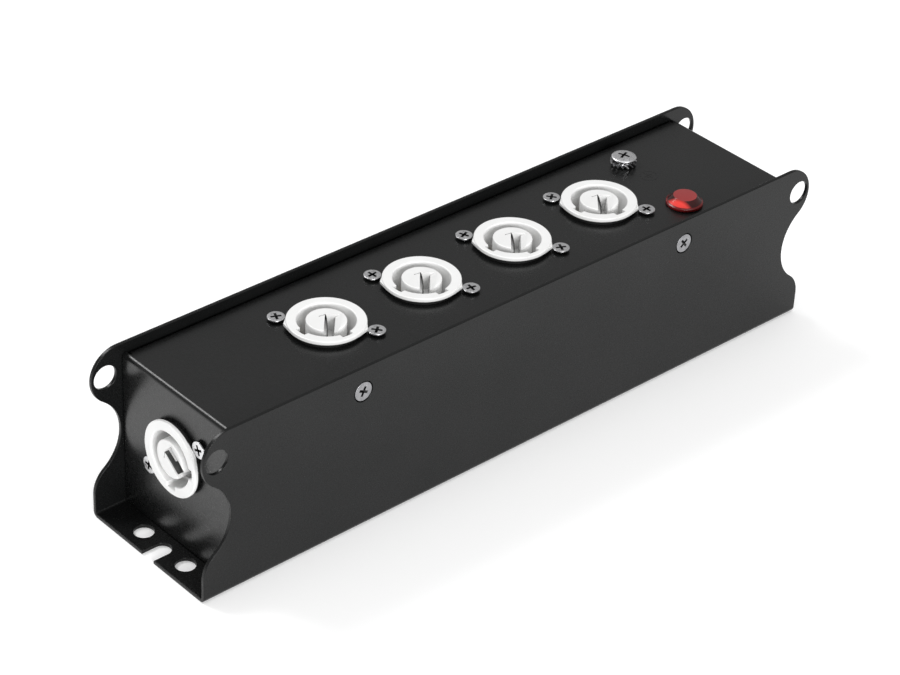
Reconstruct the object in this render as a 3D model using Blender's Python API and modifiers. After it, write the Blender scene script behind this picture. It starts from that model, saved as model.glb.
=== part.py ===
"""Portable power distribution box.

A folded steel channel takes a drop-in cover that carries four twist-lock outlets on top, a
twist-lock inlet and a link outlet at its ends, a neon lamp and an earthing screw.

Frame: origin at the centre of the underside, +X along the box towards the lamp end, +Z up.
Lengths are metres. A connector's own frame has +Z out of the panel and its two screws on the
diagonal through (-x, +y) and (+x, -y).
"""
from math import acos, atan2, cos, degrees, pi, radians, sin

import bmesh
import bpy
from mathutils import Matrix, Vector

MM = 0.001
GAP = 0.3 * MM

# Outer channel
LENGTH = 250 * MM
WIDTH = 54.2 * MM
HEIGHT = 58 * MM
SHEET = 1.2 * MM
CHANNEL_BEND = 1.9 * MM
EAR_RADIUS = 9.8 * MM
EAR_CENTRE_Z = HEIGHT - EAR_RADIUS
FOOT_RADIUS = 10 * MM
FOOT_CENTRE_Z = 7.9 * MM
WAIST_RADIUS = 15.25 * MM
EAR_HOLE_RADIUS = 4 * MM
EAR_HOLE_X = 120 * MM
EAR_HOLE_Z = 48.6 * MM
BASE_HOLE_RADIUS = 3.15 * MM
BASE_HOLE_X = 118.8 * MM
BASE_HOLE_Y = 10.2 * MM
SLOT_WIDTH = 5.8 * MM
SLOT_DEPTH = 8.2 * MM

# Cover
COVER_LENGTH = 228 * MM
COVER_WIDTH = WIDTH - 2 * SHEET - 2 * GAP
COVER_TOP = 54.9 * MM
COVER_FOOT = SHEET + GAP
COVER_BEND = 1.5 * MM
FLANGE_DEPTH = 12 * MM
CORNER_RELIEF = 1.2 * MM
COVER_SCREW_X = 66.3 * MM
COVER_SCREW_Z = 49.6 * MM

# Twist-lock connectors on the 19 x 24 mm diagonal screw pattern
OUTLET_XS = [x * MM for x in (-58.2, -20.7, 16.8, 54.3)]
END_CONNECTOR_Z = 32.4 * MM
COLLAR_RADIUS = 12.3 * MM
COLLAR_HEIGHT = 2.5 * MM
COLLAR_CHAMFER = 0.6 * MM
BARREL_RADIUS = 11.5 * MM
BARREL_DEPTH = 24 * MM
SOCKET_RADIUS = 9 * MM
SOCKET_DEPTH = 21 * MM
BOSS_RADIUS = 6.2 * MM
BOSS_HEIGHT = 2.45 * MM
BOSS_CHANNEL_WIDTH = 3.6 * MM
BOSS_CHANNEL_DEPTH = 13 * MM
BOSS_CHANNEL_BACK = 2.8 * MM
KEY_SIDE = radians(228)
KEYWAY_SPREAD = radians(40)
KEYWAY_INNER = 7.6 * MM
KEYWAY_OUTER = 10.6 * MM
KEYWAY_WIDTH = 3 * MM
KEYWAY_DEPTH = 9 * MM
PLATE_THICKNESS = 2.4 * MM
PLATE_X = 26 * MM
PLATE_Y = 31 * MM
PLATE_CORNER = 3 * MM
SCREW_DX = 9.5 * MM
SCREW_DY = 12 * MM
TAB_WIDTH = 4.8 * MM
TAB_THICKNESS = 0.8 * MM
TAB_END = -32 * MM
BLADE_TOP = -7 * MM
EARTH_BLADE_TOP = -0.8 * MM
PHASE_OFFSET = 6.9 * MM

# Screws
CONNECTOR_HEAD_RADIUS = 2.75 * MM
CONNECTOR_SHANK_RADIUS = 1.25 * MM
CONNECTOR_SHANK_LENGTH = 9 * MM
COVER_HEAD_RADIUS = 3.15 * MM
COVER_SHANK_RADIUS = 1.3 * MM
COVER_SHANK_LENGTH = 6 * MM
COUNTERSINK_RADIUS = 3.6 * MM
COUNTERSINK_FOOT_RADIUS = 1.9 * MM
HEAD_SINK = 0.05 * MM
EARTH_HEAD_RADIUS = 4.1 * MM
EARTH_SHANK_RADIUS = 1.9 * MM
EARTH_SHANK_LENGTH = 9 * MM
HEAD_RIM = 0.3 * MM
HEAD_CONE = 1 * MM
EARTH_HEAD_RIM = 0.5 * MM
EARTH_HEAD_DOME = 0.9 * MM
RECESS_SPAN = 3.6 * MM
RECESS_WIDTH = 0.8 * MM
RECESS_DEPTH = 0.7 * MM

# Neon lamp
LAMP_X = 77.25 * MM
LAMP_Y = -15.75 * MM
LENS_RADIUS = 6 * MM
LENS_HEIGHT = 2.8 * MM
LENS_RING = 0.9 * MM
LENS_TOP_RADIUS = 3.8 * MM
LAMP_BODY_RADIUS = 4.6 * MM
LAMP_BODY_DEPTH = 22 * MM
LAMP_NUT_RADIUS = 5.9 * MM
LAMP_NUT_HEIGHT = 3 * MM
LAMP_TAG_OFFSET = 2.2 * MM

# Earthing terminal
EARTH_X = 79.3 * MM
EARTH_Y = 14.3 * MM
WASHER_RADIUS = 4.3 * MM
WASHER_HEIGHT = 1.8 * MM
WASHER_TEETH = 12
NUT_RADIUS = 4 * MM
NUT_HEIGHT = 5.5 * MM
NUT_BORE_DEPTH = 4.6 * MM
RING_RADIUS = 4 * MM
RING_THICKNESS = 0.8 * MM
RING_TONGUE = 11 * MM
RING_TURN = radians(240)

# Wiring
CORE_RADIUS = 1.4 * MM
CORE_DIP = 7 * MM
LAMP_LEAD_RADIUS = 0.8 * MM
EARTH_LEAD_RADIUS = 1.2 * MM

ROUND_STEPS = 32
SMALL_STEPS = 16
OVERCUT = 1 * MM
MERGE = 0.01 * MM


def new_collection(name):
    """Make a collection in the scene."""
    collection = bpy.data.collections.new(name)
    bpy.context.scene.collection.children.link(collection)
    return collection


for old in list(bpy.data.objects):
    bpy.data.objects.remove(old, do_unlink=True)
PARTS = new_collection("power_distribution_box")
CUTTERS = new_collection("cutters")
CUTTERS.hide_render = True


def material(name, colour, roughness, metallic=0.0):
    """Principled material with one colour."""
    mat = bpy.data.materials.new(name)
    mat.use_nodes = True
    shader = mat.node_tree.nodes["Principled BSDF"]
    shader.inputs["Base Color"].default_value = (*colour, 1.0)
    shader.inputs["Roughness"].default_value = roughness
    shader.inputs["Metallic"].default_value = metallic
    return mat


BLACK_STEEL = material("black_steel", (0.03, 0.03, 0.03), 0.45)
WHITE_PLASTIC = material("white_plastic", (0.86, 0.86, 0.85), 0.35)
BLUE_PLASTIC = material("blue_plastic", (0.03, 0.12, 0.5), 0.35)
ZINC = material("zinc", (0.72, 0.73, 0.74), 0.3, 1.0)
BRASS = material("brass", (0.75, 0.6, 0.3), 0.3, 1.0)
RED_LENS = material("red_lens", (0.6, 0.02, 0.03), 0.15)
BROWN_WIRE = material("brown_wire", (0.16, 0.06, 0.02), 0.5)
BLUE_WIRE = material("blue_wire", (0.02, 0.1, 0.5), 0.5)
GREEN_WIRE = material("green_yellow_wire", (0.25, 0.5, 0.05), 0.5)


# --- Outlines -------------------------------------------------------------------------------

def arc(centre, radius, start, end, steps):
    """Points on an arc between two angles in degrees, both ends included."""
    turns = [radians(start + (end - start) * i / steps) for i in range(steps + 1)]
    return [(centre[0] + radius * cos(a), centre[1] + radius * sin(a)) for a in turns]


def circle(centre, radius, steps):
    """Points round a full circle."""
    return arc(centre, radius, 0, 360, steps)[:-1]


def rounded_rectangle(width, depth, radius, steps=4):
    """Outline of a rectangle with round corners, centred on the origin."""
    x = width / 2 - radius
    y = depth / 2 - radius
    corners = (((x, y), 0), ((-x, y), 90), ((-x, -y), 180), ((x, -y), 270))
    return [p for centre, turn in corners for p in arc(centre, radius, turn, turn + 90, steps)]


def wall_end_cut():
    """Outline, in X and Z, of what is cut away beyond a wall's ear, waist and foot.

    The waist is an arc that touches the ear's arc above it and the foot's arc below it.
    """
    ear = Vector((LENGTH / 2 - EAR_RADIUS, EAR_CENTRE_Z))
    foot = Vector((LENGTH / 2 - FOOT_RADIUS, FOOT_CENTRE_Z))
    upper = EAR_RADIUS + WAIST_RADIUS
    lower = FOOT_RADIUS + WAIST_RADIUS
    span = foot - ear
    inner = acos((upper ** 2 + span.length ** 2 - lower ** 2) / (2 * upper * span.length))
    slope = atan2(span.y, span.x) + inner
    waist = ear + Vector((upper * cos(slope), upper * sin(slope)))
    rise = atan2(waist.y - foot.y, waist.x - foot.x)
    tip = [(ear.x, HEIGHT + OVERCUT)]
    ear_arc = arc(ear, EAR_RADIUS, 90, degrees(slope), 10)
    waist_arc = arc(waist, WAIST_RADIUS, degrees(slope) + 180, degrees(rise) + 180, 10)
    foot_arc = arc(foot, FOOT_RADIUS, degrees(rise), 0, 5)
    beyond = LENGTH / 2 + 2 * OVERCUT
    corner = [(LENGTH / 2, -OVERCUT), (beyond, -OVERCUT), (beyond, HEIGHT + OVERCUT)]
    return tip + ear_arc + waist_arc[1:] + foot_arc[1:] + corner


# --- Solids ---------------------------------------------------------------------------------

def add(name, data, collection, mat=None, place=Matrix()):
    """Put a mesh or a curve in a collection, at a place."""
    obj = bpy.data.objects.new(name, data)
    collection.objects.link(obj)
    obj.matrix_world = place
    if mat and not data.materials:
        data.materials.append(mat)
    if collection == CUTTERS:
        obj.hide_render = True
        obj.display_type = "WIRE"
    return obj


def take_mesh(obj):
    """Final closed mesh of a working object, which is removed with its cutters."""
    depsgraph = bpy.context.evaluated_depsgraph_get()
    mesh = bpy.data.meshes.new_from_object(obj.evaluated_get(depsgraph))
    shape = bmesh.new()
    shape.from_mesh(mesh)
    bmesh.ops.remove_doubles(shape, verts=shape.verts, dist=MERGE)
    shape.to_mesh(mesh)
    shape.free()
    for modifier in obj.modifiers:
        if modifier.type == "BOOLEAN":
            bpy.data.objects.remove(modifier.object, do_unlink=True)
    bpy.data.objects.remove(obj, do_unlink=True)
    return mesh


def plate_mesh(name, loops, thickness):
    """Flat outline with holes, centred on its own mid-plane."""
    curve = bpy.data.curves.new(name, "CURVE")
    curve.dimensions = "2D"
    curve.fill_mode = "BOTH"
    curve.extrude = thickness / 2
    for loop in loops:
        spline = curve.splines.new("POLY")
        spline.points.add(len(loop) - 1)
        for point, (x, y) in zip(spline.points, loop):
            point.co = (x, y, 0, 1)
        spline.use_cyclic_u = True
    return take_mesh(add(name, curve, CUTTERS))


def wire_mesh(name, points, radius):
    """Round wire along points."""
    curve = bpy.data.curves.new(name, "CURVE")
    curve.dimensions = "3D"
    curve.bevel_depth = radius
    curve.bevel_resolution = 2
    curve.use_fill_caps = True
    spline = curve.splines.new("POLY")
    spline.points.add(len(points) - 1)
    for point, co in zip(spline.points, points):
        point.co = (*co, 1)
    return take_mesh(add(name, curve, CUTTERS))


def box_mesh(name, size):
    """Box centred on the origin."""
    mesh = bpy.data.meshes.new(name)
    shape = bmesh.new()
    bmesh.ops.create_cube(shape, size=1.0)
    bmesh.ops.scale(shape, verts=shape.verts, vec=size)
    shape.to_mesh(mesh)
    shape.free()
    return mesh


def cylinder_mesh(name, radius, depth, steps):
    """Upright cylinder centred on the origin."""
    mesh = bpy.data.meshes.new(name)
    shape = bmesh.new()
    bmesh.ops.create_cone(shape, cap_ends=True, segments=steps, radius1=radius,
                          radius2=radius, depth=depth)
    shape.to_mesh(mesh)
    shape.free()
    return mesh


def turned_mesh(name, profile, steps):
    """Solid turned about Z from (radius, height) points that run from axis to axis."""
    mesh = bpy.data.meshes.new(name)
    edges = [(i, i + 1) for i in range(len(profile) - 1)]
    mesh.from_pydata([(radius, 0, height) for radius, height in profile], edges, [])
    obj = add(name, mesh, CUTTERS)
    screw = obj.modifiers.new("turn", "SCREW")
    screw.steps = steps
    screw.render_steps = steps
    screw.use_merge_vertices = True
    screw.merge_threshold = MERGE
    return take_mesh(obj)


def boolean(obj, operation, mesh, place):
    """Add to an object, or cut from it, a mesh at a place."""
    modifier = obj.modifiers.new(operation.lower(), "BOOLEAN")
    modifier.operation = operation
    modifier.solver = "EXACT"
    modifier.object = add(f"{obj.name}_{mesh.name}", mesh, CUTTERS, place=place)


def cut(obj, mesh, place=Matrix()):
    """Cut a mesh away from an object."""
    boolean(obj, "DIFFERENCE", mesh, place)


def join(obj, mesh, place=Matrix()):
    """Join a mesh to an object."""
    boolean(obj, "UNION", mesh, place)


def at(x=0.0, y=0.0, z=0.0):
    """Place at a point."""
    return Matrix.Translation((x, y, z))


def turn(angle, axis="Z"):
    """Turn about an axis, by an angle in radians."""
    return Matrix.Rotation(angle, 4, axis)


def smooth(mesh):
    """Shade a mesh smooth between its sharp edges."""
    mesh.shade_smooth()
    mesh.set_sharp_from_angle(angle=radians(35))
    return mesh


ALONG_Y = turn(pi / 2, "X")


# --- Channel --------------------------------------------------------------------------------

def channel_section():
    """Outline of the channel's U section in Y and Z."""
    half = WIDTH / 2
    centre = half - CHANNEL_BEND
    inner = CHANNEL_BEND - SHEET
    outside = arc((-centre, CHANNEL_BEND), CHANNEL_BEND, 180, 270, 4)
    outside += arc((centre, CHANNEL_BEND), CHANNEL_BEND, 270, 360, 4)
    inside = arc((centre, CHANNEL_BEND), inner, 360, 270, 3)
    inside += arc((-centre, CHANNEL_BEND), inner, 270, 180, 3)
    right_lip = [(half, HEIGHT), (half - SHEET, HEIGHT)]
    left_lip = [(-half + SHEET, HEIGHT), (-half, HEIGHT)]
    return outside + right_lip + inside + left_lip


def slot_mesh():
    """Cutter for an open slot with a round end at the origin, running out along +X."""
    radius = SLOT_WIDTH / 2
    out = SLOT_DEPTH + 2 * OVERCUT
    outline = arc((radius, 0), radius, 90, 270, 8) + [(out, -radius), (out, radius)]
    return plate_mesh("slot", [outline], 6 * SHEET)


def make_channel():
    """Base and two walls, with ears, waists, feet, fixing holes and slots."""
    through = WIDTH + 4 * OVERCUT
    mesh = plate_mesh("section", [channel_section()], LENGTH)
    mesh.transform(turn(pi / 2) @ ALONG_Y)
    channel = add("base_channel", smooth(mesh), PARTS, BLACK_STEEL)
    end_cut = plate_mesh("end_cut", [wall_end_cut()], through)
    ear_hole = cylinder_mesh("ear_hole", EAR_HOLE_RADIUS, through, 24)
    base_hole = cylinder_mesh("base_hole", BASE_HOLE_RADIUS, 6 * SHEET, SMALL_STEPS)
    countersink = turned_mesh("countersink", countersink_profile(), SMALL_STEPS)
    slot = slot_mesh()
    for angle in (0, pi):
        end = turn(angle)
        cut(channel, end_cut, end @ ALONG_Y)
        cut(channel, ear_hole, end @ at(EAR_HOLE_X, 0, EAR_HOLE_Z) @ ALONG_Y)
        cut(channel, slot, end @ at(LENGTH / 2 - SLOT_DEPTH))
        for side in (-1, 1):
            cut(channel, base_hole, end @ at(BASE_HOLE_X, side * BASE_HOLE_Y))
    for place in cover_screw_places():
        cut(channel, countersink, place)


# --- Cover ----------------------------------------------------------------------------------

def connector_places():
    """Place of each connector by name: outlets on top, link outlet and inlet at the ends."""
    end = COVER_LENGTH / 2
    places = {f"outlet_{i}": at(x, 0, COVER_TOP) for i, x in enumerate(OUTLET_XS, start=1)}
    places["link_outlet"] = at(-end, 0, END_CONNECTOR_Z) @ turn(-pi / 2, "Y")
    places["inlet"] = at(end, 0, END_CONNECTOR_Z) @ turn(pi / 2, "Y")
    return places


def connector_screw_places():
    """Places of a connector's two screws in its own frame."""
    return [at(side * SCREW_DX, -side * SCREW_DY) for side in (-1, 1)]


def countersink_profile():
    """Half outline of the hole that a cover screw's head sits in, from outside the wall."""
    rim_foot = -HEAD_SINK - HEAD_RIM
    return [
        (0, OVERCUT),
        (COUNTERSINK_RADIUS, OVERCUT),
        (COUNTERSINK_RADIUS, rim_foot),
        (COUNTERSINK_FOOT_RADIUS, rim_foot - HEAD_CONE),
        (COUNTERSINK_FOOT_RADIUS, -2 * SHEET),
        (0, -2 * SHEET),
    ]


def cover_screw_places():
    """Places of the four cover screws, front pair first, with +Z out of the wall."""
    places = []
    for side in (-1, 1):
        for x in (-COVER_SCREW_X, COVER_SCREW_X):
            places.append(at(x, side * WIDTH / 2, COVER_SCREW_Z) @ turn(-side * pi / 2, "X"))
    return places


def cover_skin():
    """Outer skin of the cover: a box open underneath, with its top edges rounded."""
    height = COVER_TOP - COVER_FOOT
    mesh = box_mesh("cover", (COVER_LENGTH, COVER_WIDTH, height))
    mesh.transform(at(0, 0, COVER_FOOT + height / 2))
    shape = bmesh.new()
    shape.from_mesh(mesh)
    middle = COVER_FOOT + height / 2
    top_edges = [e for e in shape.edges if all(v.co.z > middle for v in e.verts)]
    bottom = [f for f in shape.faces if all(v.co.z < middle for v in f.verts)]
    bmesh.ops.delete(shape, geom=bottom, context="FACES_ONLY")
    bmesh.ops.bevel(shape, geom=top_edges, offset=COVER_BEND, segments=3, profile=0.5,
                    affect="EDGES")
    shape.to_mesh(mesh)
    shape.free()
    return mesh


def make_cover():
    """Top panel with two end plates and two shallow side flanges."""
    cover = add("cover", smooth(cover_skin()), PARTS, BLACK_STEEL)
    sheet = cover.modifiers.new("sheet", "SOLIDIFY")
    sheet.thickness = SHEET
    sheet.offset = -1
    sheet.use_even_offset = True
    below = COVER_TOP - FLANGE_DEPTH
    inside = COVER_LENGTH / 2 - SHEET
    trim = box_mesh("flange_trim", (2 * inside, WIDTH, below))
    cut(cover, trim, at(0, 0, below / 2))
    relief_top = COVER_TOP - COVER_BEND
    relief = box_mesh("relief", (CORNER_RELIEF, WIDTH, relief_top - below + OVERCUT))
    for side in (-1, 1):
        x = side * (inside - CORNER_RELIEF / 2)
        cut(cover, relief, at(x, 0, (relief_top + below - OVERCUT) / 2))
    collar_hole = cylinder_mesh("collar_hole", COLLAR_RADIUS + GAP, 4 * SHEET, ROUND_STEPS)
    screw_hole = cylinder_mesh("screw_hole", CONNECTOR_SHANK_RADIUS + GAP, 4 * SHEET, 12)
    for place in connector_places().values():
        cut(cover, collar_hole, place)
        for screw_place in connector_screw_places():
            cut(cover, screw_hole, place @ screw_place)
    lamp_hole = cylinder_mesh("lamp_hole", LAMP_BODY_RADIUS + GAP, 4 * SHEET, SMALL_STEPS)
    cut(cover, lamp_hole, at(LAMP_X, LAMP_Y, COVER_TOP))
    earth_hole = cylinder_mesh("earth_hole", EARTH_SHANK_RADIUS + GAP, 4 * SHEET, 12)
    cut(cover, earth_hole, at(EARTH_X, EARTH_Y, COVER_TOP))
    flange_hole = cylinder_mesh("flange_hole", COVER_SHANK_RADIUS + GAP, WIDTH, 12)
    for x in (-COVER_SCREW_X, COVER_SCREW_X):
        cut(cover, flange_hole, at(x, 0, COVER_SCREW_Z) @ ALONG_Y)


# --- Connectors -----------------------------------------------------------------------------

def contact_places():
    """Place of each contact in a connector's frame, by wire name."""
    return {
        "live": at(0, PHASE_OFFSET),
        "neutral": at(0, -PHASE_OFFSET),
        "earth": turn(KEY_SIDE),
    }


def housing_mesh():
    """Housing: collar, mounting plate, barrel, keyed socket, and slotted centre boss."""
    floor = COLLAR_HEIGHT - SOCKET_DEPTH
    plate_foot = -SHEET - GAP - PLATE_THICKNESS
    profile = [
        (0, BOSS_HEIGHT),
        (BOSS_RADIUS, BOSS_HEIGHT),
        (BOSS_RADIUS, floor),
        (SOCKET_RADIUS, floor),
        (SOCKET_RADIUS, COLLAR_HEIGHT),
        (COLLAR_RADIUS - COLLAR_CHAMFER, COLLAR_HEIGHT),
        (COLLAR_RADIUS, COLLAR_HEIGHT - COLLAR_CHAMFER),
        (COLLAR_RADIUS, (plate_foot - SHEET - GAP) / 2),
        (BARREL_RADIUS, (plate_foot - SHEET - GAP) / 2),
        (BARREL_RADIUS, -BARREL_DEPTH),
        (0, -BARREL_DEPTH),
    ]
    housing = add("housing", turned_mesh("turned_housing", profile, ROUND_STEPS), CUTTERS)
    mid_wall = (SOCKET_RADIUS + BARREL_RADIUS) / 2
    loops = [rounded_rectangle(PLATE_X, PLATE_Y, PLATE_CORNER)]
    loops.append(circle((0, 0), mid_wall, SMALL_STEPS))
    for place in connector_screw_places():
        loops.append(circle(place.translation.xy, CONNECTOR_SHANK_RADIUS + GAP, 8))
    plate = plate_mesh("plate", loops, PLATE_THICKNESS)
    join(housing, plate, at(0, 0, plate_foot + PLATE_THICKNESS / 2))
    keyway = box_mesh("keyway", (KEYWAY_OUTER - KEYWAY_INNER, KEYWAY_WIDTH, 2 * KEYWAY_DEPTH))
    for side in (-1, 1):
        out = at((KEYWAY_OUTER + KEYWAY_INNER) / 2, 0, COLLAR_HEIGHT)
        cut(housing, keyway, turn(KEY_SIDE + side * KEYWAY_SPREAD) @ out)
    channel_length = BOSS_CHANNEL_BACK + KEYWAY_INNER
    channel = box_mesh("channel", (channel_length, BOSS_CHANNEL_WIDTH, 2 * BOSS_CHANNEL_DEPTH))
    cut(housing, channel, turn(KEY_SIDE) @ at(channel_length / 2 - BOSS_CHANNEL_BACK, 0, BOSS_HEIGHT))
    slot_size = (TAB_WIDTH + 2 * GAP, TAB_THICKNESS + 2 * GAP, BARREL_DEPTH + floor + 4 * OVERCUT)
    slot = box_mesh("tab_slot", slot_size)
    depth_below = BARREL_DEPTH + BOSS_HEIGHT - BOSS_CHANNEL_DEPTH + OVERCUT
    deep_slot = box_mesh("deep_tab_slot", (slot_size[0], slot_size[1], 2 * depth_below))
    for wire, place in contact_places().items():
        if wire == "earth":
            cut(housing, deep_slot, at(0, 0, -BARREL_DEPTH) @ place)
        else:
            cut(housing, slot, at(0, 0, (floor - BARREL_DEPTH) / 2) @ place)
    return smooth(take_mesh(housing))


def screw_mesh(name, head, shank_radius, shank_length):
    """Screw with a cross recess, turned about Z from its head's half outline."""
    shank = [(shank_radius, -shank_length), (0, -shank_length)]
    screw = add(name, turned_mesh(f"turned_{name}", head + shank, SMALL_STEPS), CUTTERS)
    arm = box_mesh("recess_arm", (RECESS_SPAN, RECESS_WIDTH, 2 * RECESS_DEPTH))
    for angle in (0, pi / 2):
        cut(screw, arm, at(0, 0, head[0][1]) @ turn(angle))
    return smooth(take_mesh(screw))


def countersunk_head(radius, shank_radius, foot):
    """Half outline of a flat head with a cone underside that ends at the given height."""
    top = foot + HEAD_CONE + HEAD_RIM
    return [(0, top), (radius, top), (radius, foot + HEAD_CONE), (shank_radius, foot)]


def make_connectors():
    """Six connectors, each with a housing, three contacts and two screws."""
    housing = housing_mesh()
    head = countersunk_head(CONNECTOR_HEAD_RADIUS, CONNECTOR_SHANK_RADIUS, GAP)
    screw = screw_mesh("connector_screw", head, CONNECTOR_SHANK_RADIUS, CONNECTOR_SHANK_LENGTH)
    blade_tops = {"live": BLADE_TOP, "neutral": BLADE_TOP, "earth": EARTH_BLADE_TOP}
    blades = {}
    for wire, top in blade_tops.items():
        blades[wire] = box_mesh(f"{wire}_blade", (TAB_WIDTH, TAB_THICKNESS, top - TAB_END))
        blades[wire].transform(at(0, 0, (top + TAB_END) / 2))
    housing.materials.append(WHITE_PLASTIC)
    inlet_housing = housing.copy()
    inlet_housing.materials.clear()
    for name, place in connector_places().items():
        mesh = inlet_housing if name == "inlet" else housing
        add(f"{name}_housing", mesh, PARTS, BLUE_PLASTIC, place)
        for wire, contact_place in contact_places().items():
            add(f"{name}_{wire}_contact", blades[wire], PARTS, BRASS, place @ contact_place)
        for number, screw_place in enumerate(connector_screw_places(), start=1):
            add(f"{name}_screw_{number}", screw, PARTS, ZINC, place @ screw_place)


def make_cover_screws():
    """Four screws that hold the cover between the walls."""
    foot = -HEAD_SINK - HEAD_RIM - HEAD_CONE
    head = countersunk_head(COVER_HEAD_RADIUS, COVER_SHANK_RADIUS, foot)
    screw = screw_mesh("cover_screw", head, COVER_SHANK_RADIUS, COVER_SHANK_LENGTH)
    for number, place in enumerate(cover_screw_places(), start=1):
        add(f"cover_screw_{number}", screw, PARTS, ZINC, place)


# --- Lamp -----------------------------------------------------------------------------------

def make_lamp():
    """Neon lamp: faceted lens, body with two tags through the panel, and a ring nut."""
    place = at(LAMP_X, LAMP_Y, COVER_TOP)
    lens_profile = [
        (0, GAP + LENS_HEIGHT),
        (LENS_TOP_RADIUS, GAP + LENS_HEIGHT),
        (LENS_RADIUS - GAP, GAP + LENS_RING + GAP),
        (LENS_RADIUS, GAP + LENS_RING),
        (LENS_RADIUS, GAP),
        (0, GAP),
    ]
    add("lamp_lens", smooth(turned_mesh("lens", lens_profile, ROUND_STEPS)), PARTS, RED_LENS, place)
    body_mesh = cylinder_mesh("lamp_body", LAMP_BODY_RADIUS, LAMP_BODY_DEPTH, SMALL_STEPS)
    body_mesh.transform(at(0, 0, -LAMP_BODY_DEPTH / 2))
    body = add("lamp_body", smooth(body_mesh), PARTS, WHITE_PLASTIC, place)
    tag = box_mesh("lamp_tag", (TAB_THICKNESS, 2.8 * MM, 6 * MM))
    for side in (-1, 1):
        join(body, tag, place @ at(side * LAMP_TAG_OFFSET, 0, -LAMP_BODY_DEPTH - 2 * MM))
    loops = [circle((0, 0), LAMP_NUT_RADIUS, 24), circle((0, 0), LAMP_BODY_RADIUS + GAP, SMALL_STEPS)]
    nut = smooth(plate_mesh("lamp_nut", loops, LAMP_NUT_HEIGHT))
    nut_place = place @ at(0, 0, -SHEET - GAP - LAMP_NUT_HEIGHT / 2)
    add("lamp_nut", nut, PARTS, WHITE_PLASTIC, nut_place)


# --- Earthing terminal ----------------------------------------------------------------------

def washer_outline():
    """Toothed outline of the lock washer."""
    points = []
    for tooth in range(WASHER_TEETH):
        start = 360 * tooth / WASHER_TEETH
        points += arc((0, 0), 0.78 * WASHER_RADIUS, start, start + 9, 1)
        points += arc((0, 0), WASHER_RADIUS, start + 12, start + 24, 1)
    return points


def ring_outline():
    """Ring terminal: a round eye with a tongue along +X."""
    half_tongue = 1.5 * MM
    spread = degrees(atan2(half_tongue, RING_RADIUS))
    eye = arc((0, 0), RING_RADIUS, spread, 360 - spread, SMALL_STEPS)
    return eye + [(RING_TONGUE, -half_tongue), (RING_TONGUE, half_tongue)]


def domed_head():
    """Half outline of the earthing screw's head."""
    edge = GAP + EARTH_HEAD_RIM
    dome = []
    for angle in (0, radians(30), radians(60), pi / 2):
        dome.append((EARTH_HEAD_RADIUS * sin(angle), edge + EARTH_HEAD_DOME * cos(angle)))
    return dome + [(EARTH_HEAD_RADIUS, GAP), (EARTH_SHANK_RADIUS, GAP)]


def make_earth_terminal():
    """Screw and lock washer above the panel; ring terminal and closed nut below it."""
    place = at(EARTH_X, EARTH_Y, COVER_TOP)
    bore_radius = EARTH_SHANK_RADIUS + GAP
    bore = circle((0, 0), bore_radius, 12)
    washer_z = GAP + WASHER_HEIGHT / 2
    washer = plate_mesh("washer", [washer_outline(), bore], WASHER_HEIGHT)
    add("earth_lock_washer", washer, PARTS, ZINC, place @ at(0, 0, washer_z))
    screw = screw_mesh("earth_screw", domed_head(), EARTH_SHANK_RADIUS, EARTH_SHANK_LENGTH)
    add("earth_screw", screw, PARTS, ZINC, place @ at(0, 0, GAP + WASHER_HEIGHT))
    ring_z = -SHEET - GAP - RING_THICKNESS / 2
    ring = plate_mesh("ring", [ring_outline(), bore], RING_THICKNESS)
    add("earth_ring_terminal", ring, PARTS, ZINC, place @ at(0, 0, ring_z) @ turn(RING_TURN))
    nut_top = ring_z - RING_THICKNESS / 2 - GAP
    nut_mesh = plate_mesh("nut", [circle((0, 0), NUT_RADIUS, 6)], NUT_HEIGHT)
    nut = add("earth_nut", nut_mesh, PARTS, ZINC, place @ at(0, 0, nut_top - NUT_HEIGHT / 2))
    nut_bore = cylinder_mesh("nut_bore", bore_radius, 2 * NUT_BORE_DEPTH, 12)
    cut(nut, nut_bore, place @ at(0, 0, nut_top))


# --- Wiring ---------------------------------------------------------------------------------

def smooth_route(points, steps=3):
    """Points on a smooth curve through the given ones."""
    knots = [Vector(p) for p in points]
    knots = [2 * knots[0] - knots[1]] + knots + [2 * knots[-1] - knots[-2]]
    route = []
    for a, b, c, d in zip(knots, knots[1:], knots[2:], knots[3:]):
        for i in range(steps):
            t = i / steps
            bend = (3 * b - a - 3 * c + d) * t ** 3 + (2 * a - 5 * b + 4 * c - d) * t ** 2
            route.append((bend + (c - a) * t + 2 * b) / 2)
    return route + [knots[-2]]


def make_mains_wires():
    """Live, neutral and earth wires from the inlet past each outlet to the link outlet."""
    peak = COVER_TOP + TAB_END - GAP - CORE_RADIUS
    dip = SHEET + CORE_DIP
    half_pitch = (OUTLET_XS[1] - OUTLET_XS[0]) / 2
    run = [(OUTLET_XS[0] - half_pitch, dip)]
    for x in OUTLET_XS:
        run += [(x, peak), (x + half_pitch, dip)]
    tab_x = COVER_LENGTH / 2 + TAB_END - 2 * GAP
    ends = [
        (tab_x, END_CONNECTOR_Z),
        (tab_x - 1 * MM, END_CONNECTOR_Z),
        (tab_x - 4 * MM, END_CONNECTOR_Z - 1 * MM),
        (tab_x - 7.5 * MM, END_CONNECTOR_Z - 9 * MM),
    ]
    left = [(-x, z) for x, z in ends]
    profile = left + run + ends[::-1]
    offsets = {"live": PHASE_OFFSET, "neutral": -PHASE_OFFSET, "earth": 0}
    colours = {"live": BROWN_WIRE, "neutral": BLUE_WIRE, "earth": GREEN_WIRE}
    for wire, y in offsets.items():
        route = smooth_route([(x, y, z) for x, z in profile])
        add(f"{wire}_wire", smooth(wire_mesh(wire, route, CORE_RADIUS)), PARTS, colours[wire])


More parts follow.
